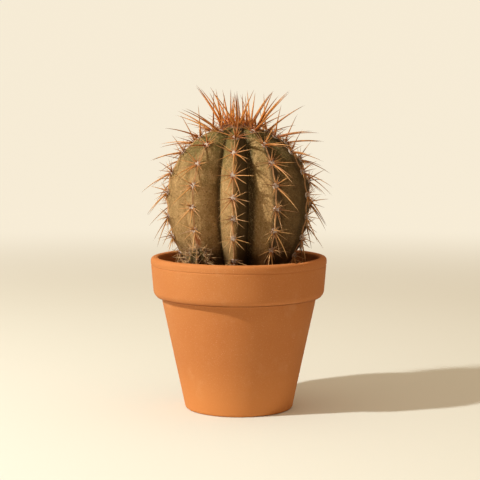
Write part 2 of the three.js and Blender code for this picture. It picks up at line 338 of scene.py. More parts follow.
def grown(name, source, tree, made_of, **inputs):
    """Runs a geometry node tree on a mesh and returns what it makes as a plain object."""
    seed = new_object(name + "_seed", source)
    modifier = seed.modifiers.new("grow", "NODES")
    modifier.node_group = tree
    sockets = {item.name: item.identifier for item in tree.interface.items_tree if item.in_out == "INPUT"}
    for label, value in {**inputs, "Material": made_of}.items():
        modifier[sockets[label]] = value
    evaluated = seed.evaluated_get(bpy.context.evaluated_depsgraph_get())
    mesh = bpy.data.meshes.new_from_object(evaluated)
    bpy.data.objects.remove(seed)
    mesh.name = name
    return new_object(name, mesh)


def keep(piece, slot, *nodes):
    """Hands a finished piece over: it rides with the pot and stands for nodes, whose parts it hides. The slot
    is not used.
    """
    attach(piece, "root")
    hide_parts(*nodes)


def growing_tree(name, sizes):
    """A geometry node tree with named inputs. Returns its builder, its inputs by name and a closing call."""
    group = bpy.data.node_groups.new(name, "GeometryNodeTree")
    group.interface.new_socket("Geometry", in_out="INPUT", socket_type="NodeSocketGeometry")
    for label, default in sizes.items():
        kind = "NodeSocketInt" if isinstance(default, int) else "NodeSocketFloat"
        group.interface.new_socket(label, in_out="INPUT", socket_type=kind).default_value = default
    group.interface.new_socket("Curve", in_out="INPUT", socket_type="NodeSocketObject")
    group.interface.new_socket("Material", in_out="INPUT", socket_type="NodeSocketMaterial")
    group.interface.new_socket("Geometry", in_out="OUTPUT", socket_type="NodeSocketGeometry")
    tree = Tree(group)
    start = tree.node("NodeGroupInput")

    def finish(geometry):
        whole = tree.node("GeometryNodeRealizeInstances", None, {"Geometry": geometry})
        smooth = tree.node("GeometryNodeSetShadeSmooth", None, {"Geometry": whole})
        inputs = {"Geometry": smooth, "Material": start.out("Material")}
        clothed = tree.node("GeometryNodeSetMaterial", None, inputs)
        tree.node("NodeGroupOutput", None, {"Geometry": clothed})
        return group

    return tree, start, finish


# ---------------------------------------------------------------- the crest line


def stem_crest(angle):
    """The stem's crest line at an angle of its ellipses, from 90 degrees at the crown down to the soil."""
    height = CAP_HEIGHT if angle > 0 else BOWL_HEIGHT
    radius = WIDEST_RADIUS * math.cos(angle)
    level = WIDEST_LEVEL + height * math.sin(angle)
    sunk = max(0.0, 1 - radius / CROWN_RADIUS)
    return Vector((radius, 0, level - CROWN_SINK * sunk * sunk * (3 - 2 * sunk)))


class Crest:
    """A crest line that is measured by arc length from its top."""

    def __init__(self, points):
        self.points = np.array([tuple(point) for point in points])
        steps = np.linalg.norm(np.diff(self.points, axis=0), axis=1)
        self.arcs = np.concatenate([[0], np.cumsum(steps)])
        self.length = float(self.arcs[-1])

    def at(self, arc):
        return Vector([float(np.interp(arc, self.arcs, self.points[:, axis])) for axis in range(3)])

    def frame(self, arc, turn):
        """The point, the way out of the skin, the way up the rib and the way to its side."""
        up = (self.at(arc - 0.0008) - self.at(arc + 0.0008)).normalized()
        out = Vector((up.z, 0, -up.x))
        around = Matrix.Rotation(turn, 3, "Z")
        out, up = around @ out, around @ up
        return around @ self.at(arc), out, up, out.cross(up)

    def curve(self, name):
        """The crest line as a curve object, for a geometry node tree to sample."""
        data = bpy.data.curves.new(name, "CURVE")
        data.dimensions = "3D"
        spline = data.splines.new("POLY")
        spline.points.add(len(self.points) - 1)
        spline.points.foreach_set("co", np.c_[self.points, np.ones(len(self.points))].ravel())
        return new_object(name, data)


def stem_line():
    """The stem's whole crest line, from the crown over the cap and the bowl to the foot of the neck."""
    top = math.radians(90)
    visible = [stem_crest(top + (SOIL_ANGLE - top) * i / 260) for i in range(261)]
    foot = visible[-1]
    neck = []
    for step in range(1, 21):
        t = step / 20
        radius = foot.x * (1 - t) ** 2 + NECK_RADIUS * 2 * t * (1 - t)
        neck.append(Vector((radius, 0, foot.z * (1 - t) + NECK_FOOT * t)))
    return Crest(visible + neck)


def areole_arc(step):
    """How far down a crest an areole is, by its step from the crown."""
    return AREOLE_START + AREOLE_STEP * step - AREOLE_SHRINK * step * step


# ---------------------------------------------------------------- growing rules


def ribbed_body_tree():
    """A fluted body: a crest line turned about +Z, its ribs drawn in between the crests."""
    sizes = {
        "Ribs": 10,
        "Columns": 401,
        "Rows": 240,
        "Crest Length": 0.2,
        "First Rib": 0.0,
        "Wander": 1.0,
        "Valley": 1 - DRAWN_IN,
        "Crest Round": 0.06,
        "Bulge": 0.01,
        "Knob": 0.0007,
        "Knob Start": AREOLE_START,
        "Knob Step": AREOLE_STEP,
        "Knob Shrink": AREOLE_SHRINK,
        "Flute Low": 0.105,
        "Flute High": 0.135,
        "Flute Radius": 0.014,
        "Wrinkle": 0.0002,
        "Lumps": 0.001,
        "Grain": 1.0,
    }
    tree, size, finish = growing_tree("ribbed_body", sizes)
    grid_inputs = {"Vertices X": size.out("Columns"), "Vertices Y": size.out("Rows")}
    grid = tree.node("GeometryNodeMeshGrid", None, {"Size X": 1.0, "Size Y": 1.0, **grid_inputs})
    flat = tree.parts(tree.node("GeometryNodeInputPosition"))
    down = 0.5 - flat.out("Y")
    line_input = {"Object": size.out("Curve")}
    line = tree.node("GeometryNodeObjectInfo", {"transform_space": "ORIGINAL"}, line_input)
    curve_inputs = {"Curves": line.out("Geometry"), "Factor": down}
    sampled = tree.node("GeometryNodeSampleCurve", {"mode": "FACTOR"}, curve_inputs, "Position")
    radius = tree.parts(sampled)
    level = radius.out("Z")
    arc = down * size.out("Crest Length")

    # How far across its rib a column is: 0 on the crest and 1 in the valley, closest at the crest.
    place = flat * size.out("Ribs")
    number = tree.math("FLOOR", place + 0.5)
    signed = place - number
    side = tree.math("SIGN", signed)
    across = tree.math("POWER", tree.math("ABSOLUTE", signed) * 2, 1.4)
    sector = 2 * math.pi / size.out("Ribs")
    even = size.out("First Rib") + (number + side * across / 2) * sector
    wander = 0.0
    for count, swing, start in WANDER:
        wave = tree.math("SINE", even * count + math.radians(start))
        wander = wander + wave * math.radians(swing)
    turn = even + wander * size.out("Wander") * tree.smooth(arc, *WANDER_GROWS)

    # Where the rib is between its areoles: 0 at an areole and 0.5 halfway to the next.
    b, c = size.out("Knob Step"), size.out("Knob Shrink")
    square = b * b - 4 * c * (arc - size.out("Knob Start"))
    root = tree.math("SQRT", tree.math("MAXIMUM", square, 0.0))
    odd = tree.math("MODULO", tree.math("ABSOLUTE", number), 2.0)
    step = (b - root) / (2 * c) + odd * 0.5
    between = step - tree.math("FLOOR", step + 0.5)

    # The rib's section: a blunt crest, bulging flanks and a crease in the valley.
    around = tree.joined(tree.math("COSINE", turn), tree.math("SINE", turn), 0.0)
    skin = tree.vector("ADD", tree.scaled(around, radius), tree.joined(0.0, 0.0, level))
    slow = tree.noise(skin, 22.0 * size.out("Grain"), 2.0)
    blunt = size.out("Crest Round")
    reach = tree.math("SQRT", across * across + blunt * blunt) - blunt
    fall = reach / (tree.math("SQRT", blunt * blunt + 1.0) - blunt)
    hump = tree.math("SINE", across * math.pi)
    crease = tree.smooth(across, 0.86, 1.0)
    valley = size.out("Valley")
    for centre, gain in VALLEYS:
        nearness = tree.smooth(tree.math("COSINE", even - math.radians(centre)), 0.88, 0.99)
        valley = valley + nearness * size.out("Wander") * gain
    flank = (size.out("Bulge") + slow * 0.02) * hump ** 2
    share = valley + (1 - valley) * (1 - fall) + flank - crease * 0.018
    low = tree.smooth(level, size.out("Flute Low"), size.out("Flute High"))
    fluting = low * tree.smooth(radius, 0.001, size.out("Flute Radius"))
    drawn = radius * (1 - fluting * (1 - share))

    # A knob sits under each areole, a corky line runs along the crest, and the old skin is pleated.
    near_crest = 1 - tree.smooth(across, 0.0, 0.6)
    wave = tree.math("COSINE", (between - 0.1) * (2 * math.pi))
    knob = size.out("Knob") * wave * near_crest * fluting
    cork = size.out("Knob") * (1 - tree.smooth(across, 0.0, 0.05)) * fluting
    squeezed = tree.vector("MULTIPLY", skin, (90.0, 90.0, 420.0))
    pleats = tree.noise(squeezed, size.out("Grain"), 3.0, 0.6)
    crackle = tree.noise(skin, 520.0 * size.out("Grain"), 3.0, 0.6)
    aged = tree.smooth(down, 0.25, 0.75)
    wrinkles = size.out("Wrinkle") * (pleats * 2.2 * aged + crackle)
    lumps = size.out("Lumps") * tree.noise(skin, 60.0 * size.out("Grain"), 2.0)
    lifted = drawn + (knob + cork + wrinkles + lumps) * tree.smooth(radius, 0.0, 0.006)

    # The marks that the skin's finish reads are worked out on the flat grid, before it's shaped.
    faces = turn + side * tree.smooth(across, 0.0, 0.3) * 0.9
    marks = {
        "across": across,
        # How much the skin faces the key light, read for the painted shade on the stem's far side.
        "sunny": tree.math("COSINE", faces - KEY_LIGHT_TURN) * 0.7 + tree.math("COSINE", turn - KEY_LIGHT_TURN) * 0.3,
        # How deep the valley is drawn in: the skin's finish paints shade by it.
        "hollow": fluting * (1 - share) / DRAWN_IN,
        "down": down,
        "between": tree.math("ABSOLUTE", between) * 2,
    }
    marked = grid
    for name, value in marks.items():
        marked = tree.stored(marked, name, value)
    position = tree.vector("ADD", tree.scaled(around, lifted), tree.joined(0.0, 0.0, level))
    shaped = tree.moved(marked, Position=position)
    merge_inputs = {"Geometry": shaped, "Distance": 0.00003}
    return finish(tree.node("GeometryNodeMergeByDistance", None, merge_inputs))


def spine_tree():
    """A curved tapering spine on each seed point, from the attributes aim, droop, reach and girth."""
    sizes = {"Sides": 6, "Rings": 7, "Swell": 0.35, "Blunt": 0.75, "Sway": 0.0}
    tree, size, finish = growing_tree("spines", sizes)
    cone_inputs = {
        "Vertices": size.out("Sides"),
        "Side Segments": size.out("Rings"),
        "Radius Top": 1.0,
        "Radius Bottom": 1.0,
        "Depth": 1.0,
    }
    cone = tree.node("GeometryNodeMeshCone", {"fill_type": "NGON"}, cone_inputs, "Mesh")
    place = tree.node("GeometryNodeInputPosition")
    height = tree.parts(place).out("Z")
    taper = tree.math("POWER", tree.math("MAXIMUM", 1 - height, 0.0004), size.out("Blunt"))
    swell = 1 + size.out("Swell") * tree.math("EXPONENT", height * -9.0)
    width = taper * swell
    thorn = tree.moved(cone, Position=tree.vector("MULTIPLY", place, tree.joined(width, width, 1.0)))
    thorn = tree.stored(thorn, "along", height)

    girth = tree.named("girth")
    upright = tree.facing(tree.named("aim", "FLOAT_VECTOR"))
    scale = tree.joined(girth, girth, tree.named("reach"))
    copies = tree.copied(size.out("Geometry"), thorn, upright, scale)
    whole = tree.node("GeometryNodeRealizeInstances", None, {"Geometry": copies})
    along = tree.named("along")
    drop = tree.scaled(tree.named("droop", "FLOAT_VECTOR"), along * along)
    waves = tree.node("ShaderNodeTexNoise", None, {"Scale": 160.0, "Detail": 1.0}, "Color")
    sway = tree.scaled(tree.vector("SUBTRACT", waves, (0.5, 0.5, 0.5)), along * size.out("Sway"))
    return finish(tree.moved(whole, Offset=tree.vector("ADD", drop, sway)))


def wool_tree():
    """A lumpy pad of wool on each seed point, from the attributes aim and girth."""
    tree, size, finish = growing_tree("wool", {"Flatness": 0.55, "Lump": 0.0006, "Lump Scale": 420.0})
    ball = tree.node("GeometryNodeMeshIcoSphere", None, {"Radius": 1.0, "Subdivisions": 3})
    girth = tree.named("girth")
    upright = tree.facing(tree.named("aim", "FLOAT_VECTOR"))
    scale = tree.joined(girth, girth, girth * size.out("Flatness"))
    copies = tree.copied(size.out("Geometry"), ball, upright, scale)
    whole = tree.node("GeometryNodeRealizeInstances", None, {"Geometry": copies})
    place = tree.node("GeometryNodeInputPosition")
    lump = tree.noise(place, size.out("Lump Scale"), 3.0, 0.7) * size.out("Lump") * 2
    offset = tree.scaled(tree.node("GeometryNodeInputNormal"), lump)
    return finish(tree.moved(whole, Offset=offset))


def grit_tree():
    """Loose grains scattered over a surface."""
    sizes = {"Density": 60000.0, "Least": 0.0004, "Most": 0.0016, "Seed": 3}
    tree, size, finish = growing_tree("grit", sizes)
    inputs = {"Mesh": size.out("Geometry"), "Density": size.out("Density"), "Seed": size.out("Seed")}
    spots = tree.node("GeometryNodeDistributePointsOnFaces", {"distribute_method": "RANDOM"}, inputs)
    grain = tree.node("GeometryNodeMeshIcoSphere", None, {"Radius": 1.0, "Subdivisions": 1})

    def chance(low, high, seed, kind="FLOAT"):
        # A vector's limits are its first two sockets, and a number's are the next two.
        first = 0 if kind == "FLOAT_VECTOR" else 2
        inputs = {first: low, first + 1: high, "Seed": seed}
        return tree.node("FunctionNodeRandomValue", {"data_type": kind}, inputs, 0 if first == 0 else 1)

    big = chance(0.0, 1.0, 11)
    width = size.out("Least") + (size.out("Most") - size.out("Least")) * big ** 3
    shape = tree.scaled(chance((0.7, 0.6, 0.45), (1.3, 1.1, 0.9), 12, "FLOAT_VECTOR"), width)
    tumble = chance((0.0, 0.0, 0.0), (6.28, 6.28, 6.28), 13, "FLOAT_VECTOR")
    spin = tree.node("FunctionNodeEulerToRotation", None, {0: tumble})
    grains = tree.copied(spots, grain, spin, shape)
    return finish(tree.stored(grains, "tint", chance(0.0, 1.0, 14), "INSTANCE"))


# ---------------------------------------------------------------- finishes


def terracotta():
    def paint(tree, place):
        cloud = tree.noise(place, 14.0, 4.0, 0.55)
        patch = tree.noise(place, 45.0, 4.0, 0.6)
        grain = tree.noise(place, 900.0, 3.0, 0.6)
        speck = tree.smooth(tree.noise(place, 1500.0, 1.0), 0.17, 0.24)
        # Painted bounce light: the clay is lighter and warmer low on the pot, as if lit by light from the
        # floor.
        foot = 1 - tree.smooth(tree.parts(place).out("Z") + cloud * 0.02, 0.0, 0.055)
        clay = tree.coated(
            tree.mix(cloud * 1.6 + 0.5, colour(190, 116, 60), colour(202, 132, 74)),
            (tree.smooth(patch, 0.04, 0.3) * 0.35, (212, 154, 104)),
            (tree.smooth(0 - patch, 0.1, 0.3) * 0.3, (178, 100, 50)),
            (grain * 0.5 + 0.12, (178, 92, 46)),
            (speck * 0.35, (240, 190, 150)),
            (foot * 0.55, (226, 146, 78)),
        )
        rings = tree.stretched_noise(place, (6.0, 6.0, 700.0), 2.0)
        height = grain * 0.6 + tree.noise(place, 260.0, 3.0) * 0.8 + rings * 0.5
        return {
            "Base Color": clay,
            "Roughness": 0.82 + grain * 0.2,
            "Normal": tree.bump(height, 0.0003, 0.55),
        }

    return material("terracotta", paint, **{"Specular IOR Level": 0.3})


def stem_skin(name, scar=None):
    """Green skin under the crown and tan and corky where it's old, with painted shade in the valleys, on the
    side away from the key light and low between the ribs near the soil. The scar is optional.
    """

    def paint(tree, place):
        across = tree.attribute("across")
        down = tree.attribute("down")
        cloud = tree.noise(place, 30.0, 4.0, 0.6)
        patch = tree.noise(place, 110.0, 5.0, 0.7)
        streak = tree.stretched_noise(place, (520.0, 520.0, 90.0), 4.0, 0.65)
        grain = tree.noise(place, 1100.0, 3.0, 0.65)
        fleck = tree.noise(place, 480.0, 4.0, 0.7)

        green = tree.mix(cloud * 2 + 0.5, colour(84, 78, 32), colour(120, 104, 52))
        cork = tree.mix(patch * 2.4 + 0.5, colour(154, 119, 72), colour(192, 152, 102))
        ageing = tree.smooth(down + cloud * 0.5 + patch * 0.4 - across * 0.12, 0.05, 0.4)
        skin = tree.coated(
            tree.mix(ageing * 0.9, green, cork),
            (tree.smooth(cloud + patch * 0.6, 0.06, 0.3) * 0.4, (206, 168, 118)),
            (tree.smooth(0 - cloud - patch * 0.6, 0.06, 0.3) * 0.5, (116, 94, 48)),
            # Painted shade: darker skin deep in the valleys between the ribs.
            (tree.smooth(tree.attribute("hollow"), 0.74, 1.04) * 0.75, (50, 40, 15)),
            (tree.smooth(patch + streak * 0.5 + down * 0.2, 0.26, 0.5) * 0.35, (136, 84, 44)),
            (tree.smooth(grain + fleck, 0.02, 0.24) * 0.46, (220, 186, 136)),
            (tree.smooth(0 - grain - fleck, 0.03, 0.24) * 0.62, (82, 58, 28)),
        )

        # Painted shade: the skin is darker on the side of the stem away from the key light.
        painted_shade_side = tree.smooth(0 - tree.attribute("sunny") + cloud * 0.4, -0.36, 0.22)
        line = 1 - tree.smooth(across + grain * 0.04, 0.02, 0.06)
        # Painted shade: darker skin low on the stem near the soil, away from the crests.
        low = 1 - tree.smooth(tree.parts(place).out("Z") + cloud * 0.02, 0.134, 0.157)
        near_areole = 1 - tree.smooth(tree.attribute("between"), 0.06, 0.34)
        # Painted shade on the far side from the key light and low near the soil, over a pale corky crest line
        # and brown rings round the areoles.
        skin = tree.coated(
            skin,
            (painted_shade_side * 0.86, (58, 43, 15)),
            (line * (0.5 + down * 0.5), (204, 150, 104)),
            (low * tree.smooth(across, 0.12, 0.55) * 0.75, (54, 37, 18)),
            ((1 - tree.smooth(across, 0.0, 0.22)) * near_areole * 0.5, (104, 70, 42)),
        )

        if scar is not None:
            away = tree.vector("SUBTRACT", place, tuple(scar))
            spread = tree.vector("MULTIPLY", away, (1.0, 1.0, 0.45))
            distance = tree.vector("LENGTH", spread, out="Value")
            healed = 1 - tree.smooth(distance + patch * 0.004, 0.002, 0.0055)
            skin = tree.coated(skin, (healed * 0.85, (150, 84, 46)))

        crackle = tree.node(
            "ShaderNodeTexVoronoi",
            {"feature": "DISTANCE_TO_EDGE"},
            {"Vector": tree.vector("MULTIPLY", place, (1.0, 1.0, 1.7)), "Scale": 420.0},
            "Distance",
        )
        height = tree.smooth(crackle, 0.0, 0.12) * 0.5 + streak * 0.8 + grain * 0.6 + fleck * 0.8
        return {
            "Base Color": skin,
            "Roughness": 0.68 + grain * 0.25 + ageing * 0.1,
            "Normal": tree.bump(height, 0.0006, 0.75),
        }

    return material(name, paint, **{"Specular IOR Level": 0.25})


def spine_horn(name, young, old):
    """Spines that are reddish at the foot, bright along the shaft and dark at the tip."""

    def paint(tree, place):
        tint = tree.attribute("tint")
        course = tree.attribute("along") + tree.noise(place, 900.0, 2.0) * 0.12
        horn = tree.coated(
            tree.mix(tree.attribute("age"), tree.ramp(young, course), tree.ramp(old, course)),
            (tree.smooth(tint, 0.45, 1.0) * 0.5, (224, 162, 88)),
            (tree.smooth(1 - tint, 0.55, 1.0) * 0.55, (112, 56, 26)),
        )
        rings = tree.noise(place, 2600.0, 2.0)
        return {
            "Base Color": horn,
            "Roughness": 0.42 + rings * 0.3,
            "Normal": tree.bump(rings, 0.0001, 0.5),
        }

    return material(name, paint, **{"Specular IOR Level": 0.45})


def areole_wool(name, light, dark):
    def paint(tree, place):
        clump = tree.noise(place, 700.0, 4.0, 0.7)
        hair = tree.noise(place, 3200.0, 2.0, 0.6)
        wool = tree.mix(clump * 2.2 + 0.5, colour(*dark), colour(*light))
        wool = tree.coated(wool, (hair * 1.2 + 0.06, (96, 62, 50)))
        return {"Base Color": wool, "Roughness": 0.95, "Normal": tree.bump(clump + hair, 0.0004, 0.8)}

    return material(name, paint, **{"Sheen Weight": 0.3, "Sheen Roughness": 0.5})


def soil_earth():
    def paint(tree, place):
        clod = tree.noise(place, 120.0, 5.0, 0.7)
        crumb = tree.noise(place, 800.0, 4.0, 0.7)
        earth = tree.mix(clod * 2 + 0.5, colour(38, 25, 17), colour(70, 50, 34))
        earth = tree.coated(earth, (tree.smooth(crumb, 0.1, 0.3) * 0.6, (104, 80, 56)))
        return {"Base Color": earth, "Roughness": 0.95, "Normal": tree.bump(clod + crumb, 0.002, 0.8)}

    return material("soil_earth", paint, **{"Specular IOR Level": 0.2})


def soil_grit():
    stops = (
        (0.0, (44, 30, 21)),
        (0.45, (82, 58, 38)),
        (0.75, (120, 96, 70)),
        (0.93, (158, 132, 104)),
        (1.0, (206, 194, 176)),
    )

    def paint(tree, place):
        fleck = tree.noise(place, 2400.0, 2.0)
        stone = tree.ramp(stops, tree.attribute("tint"))
        stone = tree.coated(stone, (tree.smooth(fleck, 0.05, 0.3) * 0.5, (60, 44, 32)))
        return {
            "Base Color": stone,
            "Roughness": 0.85 + fleck * 0.2,
            "Normal": tree.bump(fleck, 0.0002, 0.6),
        }

    return material("soil_grit", paint)


# ---------------------------------------------------------------- the pot and its soil


def pot_profile():
    """The pot's closed outline, as corners of radius, level and rounding in millimetres."""
    corners = [
        (11.0, 0.0, 0.8),
        (48.8, 0.0, 2.4),
        (70.4, 101.8, 1.6),
        (73.4, 102.1, 1.5),
        (77.1, 103.4, 4.6),
        (79.45, 130.3, 0.5),
        (79.05, 131.1, 0.4),
        (79.7, 131.9, 0.5),
        (80.0, 138.5, 4.2),
        (72.6, 138.5, 3.0),
        (72.0, 133.0, 0.0),
        (42.4, 9.0, 5.0),
        (11.0, 9.0, 1.2),
    ]
    return curve_points([tuple(size * MM for size in corner) for corner in corners], 1.5 * MM)


# Each chip's place round the lip, its half width in degrees, and its depth.
LIP_CHIPS = (
    (312.4, 2.5, 0.0018),
    (318.3, 1.8, 0.0015),
    (322.9, 1.4, 0.0012),
    (128.0, 1.8, 0.0010),
    (44.0, 1.1, 0.0007),
    (221.0, 1.5, 0.0008),
)


def worn_pot(point, turn):
    """A thrown pot's slight waviness, with a few small chips on the lip's inner edge."""
    radius = math.hypot(point.x, point.y)
    wave = noise.noise(point * 16) * 0.00022 + noise.noise(point * 60) * 0.00009
    pitted = noise.noise(point * 420) * 0.00003
    away = Vector((point.x, point.y, 0)).normalized()
    moved = point + away * (wave + pitted)
    moved.z += noise.noise(Vector((point.x * 18, point.y * 18, 3.7))) * 0.00025 * (point.z / POT_TOP)
    on_lip = max(0.0, 1 - (POT_TOP - point.z) / 0.004) * (1 if radius < RIM_RADIUS - 0.0022 else 0)
    if on_lip > 0:
        front = math.degrees(turn) % 360
        for place, width, depth in LIP_CHIPS:
            off = (front - place + 180) % 360 - 180
            if abs(off) < width:
                bite = (1 - (off / width) ** 2) * (0.55 + noise.noise(point * 700))
                moved.z -= max(0.0, bite) * depth * on_lip
                moved += away * max(0.0, bite) * depth * 0.5 * on_lip
    return moved


def wall_radius(level):
    """The radius of the pot's inner wall at a level."""
    return (43.0 + (72.0 - 43.0) * (level / MM - 9.0) / (133.0 - 9.0)) * MM


def soil_height(x, y):
    """The soil's top, a little banked up towards the stem."""
    radius = math.hypot(x, y)
    place = Vector((x, y, 0))
    bank = 0.0014 * max(0.0, 1 - (radius / 0.07) ** 2)
    rough = noise.noise(place * 55) * 0.0016 + noise.noise(place * 190) * 0.0008
    return SOIL_LEVEL - 0.001 + bank + rough


def ring_of(radius, level, sides):
    """Points round a ring. The level is a number or a rule of x and y."""
    points = []
    for side in range(sides):
        turn = 2 * math.pi * side / sides
        x, y = radius * math.cos(turn), radius * math.sin(turn)
        points.append((x, y, level(x, y) if callable(level) else level))
    return points


def bands(rings, sides, widening=False):
    """Faces that look up, between rings of points that go inwards, or outwards if widening."""
    faces = []
    for row in range(rings - 1):
        here, there = row * sides, (row + 1) * sides
        for side in range(sides):
            following = (side + 1) % sides
            first, *others = here + side, here + following, there + following, there + side
            faces.append((first, *(reversed(others) if widening else others)))
    return faces


def soil_bed():
    """The soil's closed body, with a finely divided uneven top."""
    sides, rings = 220, 70
    bottom, corner = 0.0096, 0.016  # just off the pot's floor, and where the floor goes over to the wall
    edge = wall_radius(SOIL_LEVEL) - 0.0003
    points = ring_of(edge - 0.0275, bottom, sides) + ring_of(wall_radius(corner) - 0.0006, corner, sides)
    for step in range(rings):
        points += ring_of(edge * (1 - step / rings), soil_height, sides)
    faces = bands(rings + 2, sides)
    last = (rings + 1) * sides
    for level, first in ((bottom, 0), (soil_height(0, 0), last)):
        points.append((0, 0, level))
        faces += [(first + side, first + (side + 1) % sides, len(points) - 1) for side in range(sides)]
    return tidied(mesh_of("soil_bed", points, faces))


def soil_patch():
    """The ring of open soil between the stem and the pot's wall, for grains to lie on."""
    sides, rings = 160, 12
    inner, outer = 0.031, wall_radius(SOIL_LEVEL) - 0.0012
    points = []
    for step in range(rings + 1):
        radius = inner + (outer - inner) * step / rings
        points += ring_of(radius, lambda x, y: soil_height(x, y) + 0.0002, sides)
    return mesh_of("soil_patch", points, bands(rings + 1, sides, widening=True))


# ---------------------------------------------------------------- spines and wool


class Seeds:
    """Seed points for a growing tree, each with its own numbers and directions."""

    def __init__(self):
        self.points = []
        self.numbers = {}
        self.vectors = {}

    def add(self, point, numbers, vectors):
        self.points.append(tuple(point))
        for name, value in numbers.items():
            self.numbers.setdefault(name, []).append(value)
        for name, value in vectors.items():
            self.vectors.setdefault(name, []).extend(value)

    def mesh(self, name):
        mesh = mesh_of(name, self.points, [])
        for label, values in self.numbers.items():
            mesh.attributes.new(label, "FLOAT", "POINT").data.foreach_set("value", values)
        for label, values in self.vectors.items():
            mesh.attributes.new(label, "FLOAT_VECTOR", "POINT").data.foreach_set("vector", values)
        return mesh


class Areole:
    """A spot on a rib that carries wool and spines."""

    def __init__(self, frame_there, width, age):
        self.point, self.out, self.up, self.side = frame_there
        self.width = width
        self.age = age

    def aim(self, tilt, lean):
        tilt, lean = math.radians(tilt), math.radians(lean)
        across = self.up * math.cos(lean) + self.side * math.sin(lean)
        return self.out * math.cos(tilt) + across * math.sin(tilt), across

    def spine(self, seeds, tilt, lean, length, girth, bend, chance):
        """Seeds one spine that bends towards the ground, with a little chance in its aim and length."""
        aim, across = self.aim(tilt + chance.gauss(0, 4), lean + chance.gauss(0, 6))
        length *= chance.uniform(0.84, 1.12)
        foot = self.point + across * self.width * chance.uniform(0.25, 0.5) + self.out * 0.0006
        down = (Vector((0, 0, -1)) + aim * aim.z) * bend * length
        sideways = self.side * chance.gauss(0, 0.03) * length
        tip = foot + aim * length + down + sideways
        lowest = SOIL_LEVEL + 0.0015
        if tip.z < lowest:
            aim = (aim + Vector((0, 0, (lowest - tip.z) / length))).normalized()
        in_the_wall = POT_TOP + 0.002 > tip.z and math.hypot(tip.x, tip.y) > INNER_RADIUS - 0.0025
        if in_the_wall:
            length *= 0.55
            down *= 0.55
        seeds.add(
            foot,
            {"reach": length, "girth": girth, "tint": chance.random(), "age": self.age},
            {"aim": tuple(aim), "droop": tuple(down + sideways)},
        )


# The radial spines on each side of an areole: tilt, lean from the way up, length, girth and bend.
RADIALS = (
    (64, 92, 0.0205, 0.00052, 0.05),
    (68, 126, 0.0175, 0.00047, 0.05),
    (66, 60, 0.0145, 0.00038, 0.03),
    (74, 156, 0.0125, 0.00034, 0.03),
    (58, 26, 0.0115, 0.00034, 0.02),
)

# The long spines of each of the crown's outer areoles, in the same way.
CROWN_SPINES = (
    (26, 180, 0.045, 0.0012, 0.26),
    (28, 130, 0.043, 0.00105, 0.18),
    (27, -130, 0.044, 0.0011, 0.18),
    (4, 180, 0.036, 0.00115, 0.05),
)

FINE = {"Sides": 3, "Rings": 3, "Sway": 0.0004}  # how the spine rule draws a hair


def areole_spines(areole, seeds, step, chance):
    """The spines of one areole on the stem: long curved centrals among shorter straight radials."""
    young = max(0.0, 1 - step / 2.2)
    old = min(1.0, step / 7)
    vigour = 1.1 - 0.3 * old
    main = (0.031 + 0.009 * young) * vigour
    stout = 0.00072 + 0.0004 * young
    areole.spine(seeds, 48 - 22 * young, 180 + chance.gauss(0, 16), main, stout, 0.2, chance)
    if chance.random() < 0.8 - 0.3 * old:
        lean = 148 * chance.choice((-1, 1))
        areole.spine(seeds, 46 - 8 * young, lean, main * 0.95, stout * 0.94, 0.18, chance)
    if step < 4 or chance.random() < 0.4:
        lean = 30 * chance.choice((-1, 1))
        areole.spine(seeds, 22 + 8 * young, lean, main * (0.62 + 0.3 * young), stout * 0.85, 0.12, chance)
    for side in (-1, 1):
        for tilt, lean, length, girth, bend in RADIALS:
            areole.spine(seeds, tilt, side * lean, length * vigour, girth, bend, chance)
    for _ in range(chance.randint(4, 7)):
        length = chance.uniform(0.005, 0.011)
        areole.spine(seeds, chance.uniform(45, 80), chance.uniform(-180, 180), length, 0.00024, 0.05, chance)


class Planting:
    """One node's seeds: spines, the hairs in the wool, and the pads of wool."""

    def __init__(self):
        self.needles, self.hairs, self.pads = Seeds(), Seeds(), Seeds()

    def wool(self, areole, count, length, chance):
        """Seeds an areole's curly hairs."""
        for _ in range(count):
            tilt, lean = chance.uniform(5, 95), chance.uniform(-180, 180)
            aim, across = areole.aim(tilt, lean)
            foot = areole.point + across * areole.width * chance.uniform(0.1, 0.95) + areole.out * 0.0004
            reach = length * chance.uniform(0.5, 1.3)
            curl = Vector([chance.gauss(0, 0.45) for _ in range(3)]) * reach
            self.hairs.add(
                foot,
                {"reach": reach, "girth": 0.00011, "tint": chance.random(), "age": areole.age},
                {"aim": tuple(aim), "droop": tuple(curl)},
            )

    def pad(self, areole):
        foot = areole.point + areole.out * 0.0002
        numbers = {"girth": areole.width, "tint": 0.5, "age": areole.age}
        self.pads.add(foot, numbers, {"aim": tuple(areole.out)})

    def short_spines(self, areole, count, tilts, lengths, girths, chance):
        """Seeds short spines all round an areole."""
        for _ in range(count):
            lean = chance.uniform(-180, 180)
            length, girth = chance.uniform(*lengths), chance.uniform(*girths)
            areole.spine(self.needles, chance.uniform(*tilts), lean, length, girth, 0.05, chance)

    def grow(self, rules, node, slot, names, horn, wool, **pad_sizes):
        """Grows the spines, pads and hairs, in that order, as pieces that stand for the node."""
        for name, seeds, rule, finish, sizes in (
            (names[0], self.needles, rules["spines"], horn, {}),
            (names[1], self.pads, rules["wool"], wool, pad_sizes),
            (names[2], self.hairs, rules["spines"], wool, FINE),
        ):
            keep(grown(name, seeds.mesh("seeds"), rule, finish, **sizes), slot, node)


# ---------------------------------------------------------------- building


def build_pot():
    mesh = turned("terracotta_pot_thrown", pot_profile(), 300, worn_pot)
    pot = new_object("terracotta_pot_thrown", mesh, terracotta())
    keep(pot, "terracotta", "terracotta_pot")


